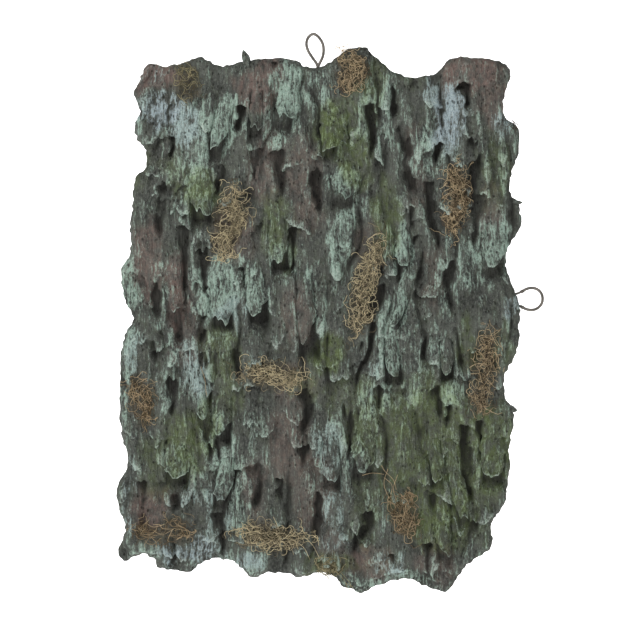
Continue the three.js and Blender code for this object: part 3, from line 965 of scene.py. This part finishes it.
def tongueGrid(place, seed):
    # a torn tongue: domed and seated at its glued edge, uneven at its sides, ragged at its lip
    u, v = np.meshgrid(np.linspace(-1, 1, flapForm["across"]), np.linspace(0, 1, flapForm["down"]))
    rng = np.random.default_rng(seed)
    length, width = place["length"], place["halfWidth"]
    tipShare, skew = rng.uniform(0.4, 0.9), rng.uniform(-0.25, 0.25) * width
    tear, crease, creaseAt = rng.uniform(1.8, 4.0), rng.uniform(-0.3, 0.3) * width, rng.uniform(-0.4, 0.4)
    slant = rng.uniform(-0.45, 0.45) * width * smoothStep(8, 20, length)
    half = width * (0.82 + 0.18 * np.sin(math.pi * np.clip(v / 0.9, 0, 1)))
    half *= 1 - (1 - tipShare) * np.clip((v - 0.62) / 0.38, 0, 1) ** 2.4
    sides = latticeNoise(np.sign(u) * 3 + 0 * v, v * length, 1, 9, seed)
    fray = latticeNoise(np.sign(u) * 5 + 0 * v, v * length, 1, 2.6, seed + 4)
    half *= 1 + (0.18 * sides + 0.09 * fray) * smoothStep(0, 0.3, v)
    side = u * half + skew * v**2
    reach = length * v * (1 - 0.05 * u * u) + 0.7 * tear * v**4 * latticeNoise(side, 0 * v, 3.4, 1, seed + 1)
    reach += v**3 * (slant * u - 0.4 * abs(slant))
    teeth = min(5, 0.12 * length)
    reach += teeth * v**4 * (0.35 - np.abs(latticeNoise(side, 0 * v, 4.5, 1, seed + 5)))
    lift = place["lift"] - 1.6 - 0.18 * width
    out = lift * v**1.5 + 0.18 * width * (1 - u * u) * v - (2.3 + 1.2 * v) * np.abs(u) ** 2.5
    out += crease * (0.5 - np.abs(u - creaseAt)) * smoothStep(0.1, 0.6, v)
    grain = latticeNoise(side, reach, 2.8, 14, seed + 2)
    out += (0.95 * grain + 0.45 * latticeNoise(side, reach, 1.7, 4, seed + 3)) * smoothStep(0, 0.25, v)
    out += 1.7 * smoothStep(0.84, 1, v)  # the lip turns outwards
    x = place["root"][0] + side * place["across"][0] + reach * place["down"][0]
    z = place["root"][2] + side * place["across"][1] + reach * place["down"][1]
    thin = flapForm["thick"] * (1 - 0.55 * np.abs(u) ** 4) * (1 - 0.35 * smoothStep(0.9, 1, v))
    y = place["root"][1] - out
    return np.stack([x, y - thin, z], axis=-1), np.stack([x, y, z], axis=-1), u, v, grain


def buildFlap(name, place, seed, body):
    front, back, u, v, grain = tongueGrid(place, seed)
    points, faces = closedShell(front, back)
    piece = addPiece(name + "_bark", points, faces, flapCoat)
    outwards(piece)
    lip = np.maximum(smoothStep(1 - 2.2 / place["length"], 1, v), 0.3 * smoothStep(0.8, 1, np.abs(u)) * v)
    lip = np.concatenate([lip.ravel(), lip.ravel() * 0.4])
    underside = np.concatenate([np.zeros(u.size), np.ones(u.size)])
    for layer in ("mint", "frost", "green", "plum", "nest"):
        setAttribute(piece, layer, sampleField(relief[layer], points[:, 0], points[:, 2]))
    setAttribute(piece, "crest", 0.3 + 0.5 * np.concatenate([grain.ravel()] * 2) + 1.0 * lip)
    # painted shade on the flap's underside, which stays light at the lip
    setAttribute(piece, "paintedShade", 0.7 * underside * (1 - lip))
    settle(piece, body, name)


for number, (name, place) in enumerate(flapPlaces.items()):
    buildFlap(name, place, flapForm["seed"] + 10 * number, name)
print("bark flaps made")

# curled shreds at the edge: where each is glued and where its tip ends, x and z
edgeCurls = {
    "edge_curl_top": {"root": (-48.5, -24), "tip": (-53, -13), "halfWidth": 3.0},
    "edge_curl_side": {"root": (140, -276), "tip": (151, -280), "halfWidth": 3.0},
    "edge_spur_side": {"root": (148, -124), "tip": (156, -125.5), "halfWidth": 1.3},
}
curlDepth, curlSeed = -4.3, 900


def buildCurl(name, form, seed):
    down = np.array(form["tip"], float) - np.array(form["root"], float)
    length = float(np.linalg.norm(down))
    down /= length
    buildFlap(name, {
        "root": np.array([form["root"][0], curlDepth, form["root"][1]]),
        "across": np.array([-down[1], down[0]]),
        "down": down,
        "length": length,
        "halfWidth": form["halfWidth"],
        "lift": (-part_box(name)[0].y / mm) + curlDepth,
    }, seed, "mask")


for number, (name, form) in enumerate(edgeCurls.items()):
    buildCurl(name, form, curlSeed + 10 * number)
print("edge curls made")

mossForms = {
    "moss_tuft_01": {"turn": 0, "strands": 130, "paint": "tan", "wisps": 0.4, "kink": 0.5, "combed": 0},
    "moss_tuft_02": {"turn": 21, "strands": 230, "paint": "gold", "wisps": 0.35, "kink": 0.42, "combed": 0.5},
    "moss_tuft_03": {"turn": 4, "strands": 200, "paint": "tan", "wisps": 0.3, "kink": 0.55, "combed": 0.2,
                     "strayTone": 0.0},
    "moss_tuft_04": {"turn": 12, "strands": 230, "paint": "gold", "wisps": 0.35, "kink": 0.45, "combed": 0.5},
    "moss_tuft_05": {"turn": -10, "strands": 78, "paint": "rust", "wisps": 0.35, "kink": 0.5, "combed": 0.3},
    "moss_tuft_06": {"turn": -80, "strands": 135, "paint": "gold", "wisps": 0.6, "kink": 0.3, "combed": 0.6},
    "moss_tuft_07": {"turn": -3, "strands": 150, "paint": "tan", "wisps": 0.4, "kink": 0.45, "combed": 0.2},
    "moss_tuft_08": {"turn": -8, "strands": 92, "paint": "rust", "wisps": 0.3, "kink": 0.36, "combed": 0.6},
    "moss_tuft_09": {"turn": -84, "strands": 65, "paint": "rust", "wisps": 0.6, "kink": 0.2, "combed": 0.85},
    "moss_tuft_10": {"turn": -82, "strands": 150, "paint": "gold", "wisps": 0.6, "kink": 0.3, "combed": 0.55},
    "moss_tuft_11": {"turn": -80, "strands": 55, "paint": "olive", "wisps": 0.4, "kink": 0.4, "combed": 0.5},
    "moss_tuft_12": {"turn": 0, "strands": 40, "paint": "olive", "wisps": 0.4, "kink": 0.5, "combed": 0},
}

# single fibres away from the tufts: x and z of each point
strayFibres = {
    "moss_tuft_03": [
        ((144, -66), (147, -70), (150, -68), (152, -71)), ((146, -72), (149, -68), (148, -63), (151, -61)),
        ((143, -69), (148, -66), (152, -66)), ((147, -64), (150, -67), (150, -73)),
        ((145, -62), (149, -65), (153, -69)), ((146, -68), (149, -71), (153, -64)),
    ],
    "moss_tuft_05": [((-84, -247), (-81, -257), (-79.5, -268))],
    "moss_tuft_08": [
        ((36, -328), (44, -326), (52, -327)), ((50, -320), (53, -325), (59, -331), (61, -338)),
        ((55, -323), (52, -334), (56, -345)), ((62, -327), (59, -338), (63, -350)),
        ((53, -330), (58, -335), (57, -344), (61, -352)),
    ],
    "moss_tuft_10": [
        ((-58, -372), (-46, -369), (-34, -370)), ((-20, -372), (-8, -380), (-3, -390)),
        ((-30, -358), (-26, -368), (-24, -384)), ((-50, -362), (-40, -370), (-28, -378), (-18, -380)),
        ((-8, -372), (-2, -378), (4, -388)),
    ],
    "moss_tuft_11": [
        ((2, -398), (8, -402), (12, -405), (15, -406)), ((16, -399), (22, -405), (25, -411), (28, -415)),
        ((20, -400), (27, -408), (26, -414)), ((6, -400), (11, -404), (9, -407)),
        ((24, -408), (29, -411), (27, -416)),
    ],
}
mossPaints = {
    "rust": mossMaterial("rustMoss", "524532", "bba582"),
    "gold": mossMaterial("goldMoss", "52493a", "d4c6a0"),
    "tan": mossMaterial("tanMoss", "4c4032", "c4b08c"),
    "olive": mossMaterial("oliveMoss", "453f2e", "a39a76"),
}
fibre = {
    "radius": 0.18,
    "sides": 5,
    "steps": 15,
    "stride": 1.15,
    "clumps": 7,
    "snapped": 0.14,  # how often a strand bends sharply
    "strayGirth": 1.1,
    "strayLift": 1.4,
}


def buildFibreTree():
    # turns every chain of edges into a round fibre
    tree, given = startTree("mossFibres", "GeometryNodeTree", {
        "Geometry": ("Geometry", None), "Fibre Radius": ("Float", 0.0003), "Sides": ("Int", 4),
        "Material": ("Material", None),
    })
    curve = addNode(tree, "GeometryNodeMeshToCurve", {"Mesh": given["Geometry"]}).outputs[0]
    girth = addNode(tree, "GeometryNodeInputNamedAttribute", {"Name": "girth"}, data_type="FLOAT")
    sized = {"Curve": curve, "Radius": girth.outputs["Attribute"]}
    curve = addNode(tree, "GeometryNodeSetCurveRadius", sized).outputs[0]
    ring = {"Resolution": given["Sides"], "Radius": given["Fibre Radius"]}
    circle = addNode(tree, "GeometryNodeCurvePrimitiveCircle", ring).outputs["Curve"]
    swept = {"Curve": curve, "Profile Curve": circle, "Fill Caps": True}
    tube = addNode(tree, "GeometryNodeCurveToMesh", swept).outputs[0]
    return finishShape(tree, tube, given["Material"])


def finishShape(tree, shape, material):
    shape = addNode(tree, "GeometryNodeRealizeInstances", {"Geometry": shape}).outputs[0]
    shape = addNode(tree, "GeometryNodeSetShadeSmooth", {"Geometry": shape}).outputs[0]
    shape = addNode(tree, "GeometryNodeSetMaterial", {"Geometry": shape, "Material": material}).outputs[0]
    return finishTree(tree, "Geometry", {"Geometry": shape})


def plainMesh(piece, name):
    # the evaluated shape as an object of its own, with no modifier left
    seen = piece.evaluated_get(bpy.context.evaluated_depsgraph_get())
    made = addObject(name, bpy.data.meshes.new_from_object(seen))
    bpy.data.objects.remove(piece)
    return made


def growPiece(name, points, edges, attributes, tree, values):
    # bare points and edges, in millimetres, turned into a piece by a Geometry Nodes tree
    bare = bpy.data.meshes.new(name + "Bare")
    bare.from_pydata((points * mm).tolist(), edges, [])
    piece = addObject(name + "Bare", bare)
    for label, numbers in attributes.items():
        setAttribute(piece, label, numbers)
    modifier = piece.modifiers.new(tree.name, "NODES")
    modifier.node_group = tree
    for socket in tree.interface.items_tree:
        if socket.in_out == "INPUT" and socket.name in values:
            modifier[socket.identifier] = values[socket.name]
    return plainMesh(piece, name)


def tuftAxes(form):
    # the tuft's long and wide directions in x and z
    turn = math.radians(form["turn"])
    return np.array([math.sin(turn), math.cos(turn)]), np.array([math.cos(turn), -math.sin(turn)])


def fibreChains(form, centre, half, height, seed):
    # curly strands that wander over the skin, thickest in the middle of the tuft
    rng = np.random.default_rng(seed)
    count, clumpCount = form["strands"], fibre["clumps"]
    long, wide = tuftAxes(form)
    clumps = np.stack([rng.uniform(-0.5, 0.5, clumpCount), np.linspace(-0.82, 0.82, clumpCount)], axis=1)
    place = clumps[rng.integers(0, clumpCount, count)] + rng.normal(0, 0.2, (count, 2))
    astray = rng.uniform(-math.pi / 2, math.pi / 2, count) * (1 - form["combed"])
    heading = math.pi / 2 + rng.integers(0, 2, count) * math.pi + astray
    curl = rng.normal(0, form["kink"], count)
    loose = 0.85 + 0.5 * (rng.uniform(0, 1, count) < form["wisps"]) * rng.uniform(0.4, 1, count)
    base = rng.uniform(0.1, 1, count) ** 1.3
    phase = rng.uniform(0, 6.28, count)
    lobes = rng.uniform(0, 6.28, 3)
    track = []
    for step in range(fibre["steps"]):
        x = centre[0] + place[:, 0] * half[1] * wide[0] + place[:, 1] * half[0] * long[0]
        z = centre[1] + place[:, 0] * half[1] * wide[1] + place[:, 1] * half[0] * long[1]
        dome = np.clip(1.05 - (place**2).sum(axis=1), 0.08, 1)
        rise = height * base * dome * (0.75 + 0.25 * np.sin(phase + 0.8 * step)) + 0.35
        track.append(np.stack([x, rise, z], axis=1))
        # past the tuft's lobed edge a strand turns for home
        around = np.arctan2(place[:, 1], place[:, 0])
        reach = loose * (0.95 + 0.26 * np.sin(2 * around + lobes[0]) + 0.2 * np.sin(3 * around + lobes[1]))
        homeward = np.arctan2(-place[:, 1] * half[0], -place[:, 0] * half[1])
        apart = (homeward - heading + math.pi) % (2 * math.pi) - math.pi
        snapped = (rng.uniform(0, 1, count) < fibre["snapped"]) * rng.normal(0, 1.1, count)
        curl = 0.45 * curl + rng.normal(0, 0.7 * form["kink"], count) + snapped
        outward = smoothStep(0.7, 1.1, np.hypot(place[:, 0], place[:, 1]) / reach)
        heading = heading + curl + 0.3 * apart * outward
        ahead = np.stack([np.cos(heading) / half[1], np.sin(heading) / half[0]], axis=1)
        place = place + ahead * fibre["stride"]
    return np.stack(track, axis=1), rng


fibreTree = buildFibreTree()


def buildTuft(name, form, seed):
    mesh = frame["nodes"][name].data
    corners = np.array([v.co for v in mesh.vertices])[:, [0, 2]] / mm
    centre = (corners.max(axis=0) + corners.min(axis=0)) / 2
    half = [np.abs((corners - centre) @ axis).max() for axis in tuftAxes(form)]
    low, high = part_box(name)
    track, rng = fibreChains(form, centre, half, (high.y - low.y) / mm * 0.75, seed)
    count, steps = track.shape[:2]
    x, z = track[..., 0], track[..., 2]
    ground = sampleField(blur(relief["height"], 2, 3), x, z)
    ground = np.maximum(ground, 0.6 * ground.mean())
    points = np.stack([x, -(ground + track[..., 1]), z], axis=-1).reshape(-1, 3)
    edges = [(s * steps + k, s * steps + k + 1) for s in range(count) for k in range(steps - 1)]
    # a fibre thins at both ends
    girth = np.repeat(rng.uniform(0.6, 1.25, count), steps).reshape(count, steps)
    girth *= np.clip(1.1 - np.abs(np.linspace(-1, 1, steps)) ** 4 * 0.7, 0.3, 1)
    girth, tone = girth.ravel(), np.repeat(rng.uniform(0, 1, count), steps)
    for stray in strayFibres.get(name, ()):
        line = evenPath(smoothPath(stray, 6), 1.3)
        rise = sampleField(relief["height"], line[:, 0], line[:, 1]) + fibre["strayLift"]
        edges += [(len(points) + k, len(points) + k + 1) for k in range(len(line) - 1)]
        points = np.vstack([points, np.stack([line[:, 0], -rise, line[:, 1]], axis=1)])
        girth = np.concatenate([girth, np.full(len(line), fibre["strayGirth"])])
        tone = np.concatenate([tone, np.full(len(line), form.get("strayTone", 0.8))])
    piece = growPiece(name + "_fibres", points, edges, {"girth": girth, "tone": tone}, fibreTree, {
        "Fibre Radius": fibre["radius"] * mm,
        "Sides": fibre["sides"],
        "Material": mossPaints[form["paint"]],
    })
    settle(piece, "mask", name)


for number, (name, form) in enumerate(mossForms.items()):
    buildTuft(name, form, 700 + number)
print("moss tufts made")

backing = {
    "cell": 2.2,
    "inset": 1.2,
    "front": 2.1,
    "thick": 0.9,
    "hem": 7.5,
    "hemRise": 0.8,
    "seam": 5.2,  # how far the seam runs inside the torn outline
    "stitchSpacing": 4.3,
    "stitchLength": 3.0,
    "stitchRadius": 0.34,
    "tackColumns": (-128, 140, 43),
    "tackRows": (-372, -52, 40),
    "seed": 83,
}


def tackPlaces():
    # crossed stitches that hold the gathers of the skin down on the backing
    rng = np.random.default_rng(backing["seed"])
    places = [(x + rng.uniform(-9, 9), z + rng.uniform(-9, 9))
              for z in np.arange(*backing["tackRows"]) for x in np.arange(*backing["tackColumns"])]
    places = np.array(places)
    inward, _, _ = edgeDistance(places[:, 0], places[:, 1], outline)
    return places[inward > 14]


tacks = tackPlaces()


def backingLevel(x, z, inward):
    # how far behind the middle plane the cloth's rear face lies
    level = backing["front"] + 0.75 + 0.55 * latticeNoise(x, z, 26, 40, 81) * smoothStep(1, 14, inward)
    level += 0.3 * latticeNoise(x, z, 9, 30, 82) * smoothStep(1, 14, inward)
    level += 0.14 * latticeNoise(x, z, 4, 5, 84) * (1 - smoothStep(7, 10, inward))
    for tackX, tackZ in tacks:
        away = np.hypot(x - tackX, z - tackZ)
        level -= 0.9 * np.exp(-((away / 5) ** 2)) - 0.25 * np.exp(-(((away - 9) / 4) ** 2))
    return level + backing["hemRise"] * (1 - smoothStep(backing["hem"] - 0.8, backing["hem"] + 0.8, inward))


def buildBacking():
    cell = backing["cell"]
    fields, faces, rim = clothGrid(cell, cell, 0.45 * cell + backing["inset"])
    x, z, inward, nearX, nearZ = fields
    share = backing["inset"] / np.maximum(inward[rim], 0.1)
    x[rim], z[rim] = nearX[rim] + (x[rim] - nearX[rim]) * share, nearZ[rim] + (z[rim] - nearZ[rim]) * share
    points = np.stack([x, backingLevel(x, z, inward), z], axis=1)
    cloth = addPiece("backingCloth", points, faces[:, ::-1].tolist(), backingWeave)
    solid = cloth.modifiers.new("thickness", "SOLIDIFY")
    solid.thickness = backing["thick"] * mm
    solid.offset = -1
    piece = plainMesh(cloth, "backing_cloth_weave")
    settle(piece, "mask", "backing_cloth")


def buildStitchTree():
    # lays one short thread on every point, turned to the point's own heading
    tree, given = startTree("stitches", "GeometryNodeTree", {
        "Geometry": ("Geometry", None), "Length": ("Float", 0.003), "Radius": ("Float", 0.0003),
        "Seed": ("Int", 1), "Material": ("Material", None),
    })
    ball = addNode(tree, "GeometryNodeMeshUVSphere", {"Segments": 6, "Rings": 5, "Radius": 1.0})
    half = maths(tree, "MULTIPLY", given["Length"], 0.5)
    size = {"X": half, "Y": given["Radius"], "Z": given["Radius"]}
    size = addNode(tree, "ShaderNodeCombineXYZ", size).outputs[0]
    thread = {"Geometry": ball.outputs["Mesh"], "Scale": size}
    thread = addNode(tree, "GeometryNodeTransform", thread).outputs[0]
    heading = addNode(tree, "GeometryNodeInputNamedAttribute", {"Name": "heading"}, data_type="FLOAT")
    turned = addNode(tree, "ShaderNodeCombineXYZ", {"Y": heading.outputs["Attribute"]}).outputs[0]
    limits = {2: 0.8, 3: 1.15, "Seed": given["Seed"]}
    uneven = addNode(tree, "FunctionNodeRandomValue", limits, data_type="FLOAT")
    laid = addNode(tree, "GeometryNodeInstanceOnPoints", {
        "Points": given["Geometry"], "Instance": thread, "Rotation": turned, "Scale": uneven.outputs[1],
    }).outputs[0]
    return finishShape(tree, laid, given["Material"])


def seamPlaces():
    # stitches evenly along the outline, moved inwards to the seam
    closed = np.vstack([outline, outline[:1]]).astype(float)
    line = evenPath(closed, backing["stitchSpacing"])
    run = np.roll(line, -2, axis=0) - np.roll(line, 2, axis=0)
    run /= np.linalg.norm(run, axis=1)[:, None] + 1e-9
    inside = np.stack([-run[:, 1], run[:, 0]], axis=1) * backing["seam"]
    trial, _, _ = edgeDistance(line[:, 0] + inside[:, 0], line[:, 1] + inside[:, 1], outline)
    if np.median(trial) < 0:
        inside = -inside
    line = line + inside
    inward, _, _ = edgeDistance(line[:, 0], line[:, 1], outline)
    keep = inward > backing["seam"] - 0.8
    return line[keep], np.arctan2(-run[keep, 1], run[keep, 0])


def buildStitches():
    seam, heading = seamPlaces()
    crossed = np.repeat(tacks, 2, axis=0)
    spots = np.vstack([seam, crossed])
    heading = np.concatenate([heading, np.tile([0.8, -0.8], len(tacks))])
    inward, _, _ = edgeDistance(spots[:, 0], spots[:, 1], outline)
    level = backingLevel(spots[:, 0], spots[:, 1], inward) + 0.12
    points = np.stack([spots[:, 0], level, spots[:, 1]], axis=1)
    piece = growPiece("backing_seam_stitches", points, [], {"heading": heading}, buildStitchTree(), {
        "Length": backing["stitchLength"] * mm,
        "Radius": backing["stitchRadius"] * mm,
        "Seed": backing["seed"],
        "Material": seamThread,
    })
    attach(piece, "mask")
    print("stitches:", len(spots))


buildBacking()
buildStitches()
print("backing cloth made")
